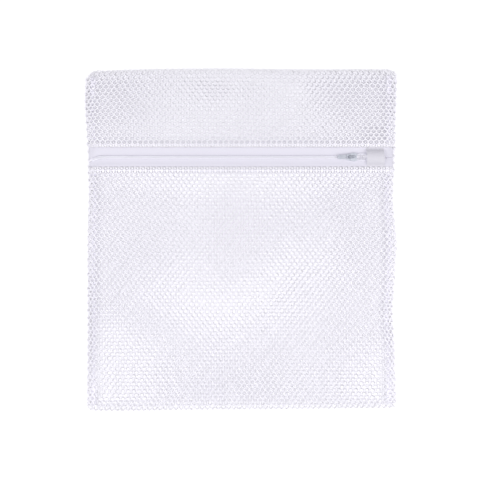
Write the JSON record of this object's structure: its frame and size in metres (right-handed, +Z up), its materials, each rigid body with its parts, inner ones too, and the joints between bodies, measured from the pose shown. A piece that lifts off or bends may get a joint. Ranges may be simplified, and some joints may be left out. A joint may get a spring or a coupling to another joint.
{
  "type": "mesh laundry bag",
  "caption": "Flat rectangular wash bag of white knitted net, with a nylon coil zipper across the front and an elastic pocket that covers the slider when it is closed.",
  "frame": {"origin": "centre of the base that the bag lies on", "axes": "+X across the bag, along the zipper towards its open end; +Y along the bag, towards the short panel above the zipper; +Z up, out of the zipper side"},
  "size_m": [0.3, 0.331, 0.0133],
  "materials": {
    "net": "polyester warp-knit net",
    "tape": "woven polyester tape",
    "thread": "spun polyester thread",
    "coil": "nylon monofilament",
    "elastic": "woven elastic",
    "nickel": "bright nickel plate, on a zinc casting and a spring steel crown"
  },
  "bodies": {
    "bag": {"back_panel": "net", "front_upper_panel": "net", "front_lower_panel": "net", "upper_hem": "net", "lower_hem": "net", "upper_topstitch": "thread", "lower_topstitch": "thread", "left_seam_allowance": "net", "right_seam_allowance": "net", "left_overlock_thread": "thread", "right_overlock_thread": "thread", "zipper_tape_upper": "tape", "zipper_tape_lower": "tape", "zipper_coil_upper": "coil", "zipper_coil_lower": "coil", "coil_core_cord_upper": "thread", "coil_core_cord_lower": "thread", "coil_thread_upper": "thread", "coil_thread_lower": "thread", "slider_pocket": "elastic"},
    "slider": {"slider_body": "nickel", "slider_crown": "nickel"},
    "pull_tab": {"pull_tab": "nickel"}
  },
  "joints": [
    {"name": "slider_travel", "type": "slide", "parent": "bag", "child": "slider", "axis": [1, 0, 0], "range_m": [-0.243, 0.0245], "deforming": ["zipper_coil_upper", "zipper_coil_lower", "coil_core_cord_upper", "coil_core_cord_lower", "coil_thread_upper", "coil_thread_lower"]},
    {"name": "pull_tab_swing", "type": "hinge", "parent": "slider", "child": "pull_tab", "pos_m": [0.1083, 0.0809, 0.01095], "axis": [0, -1, 0], "range_deg": [-176, 0]}
  ]
}
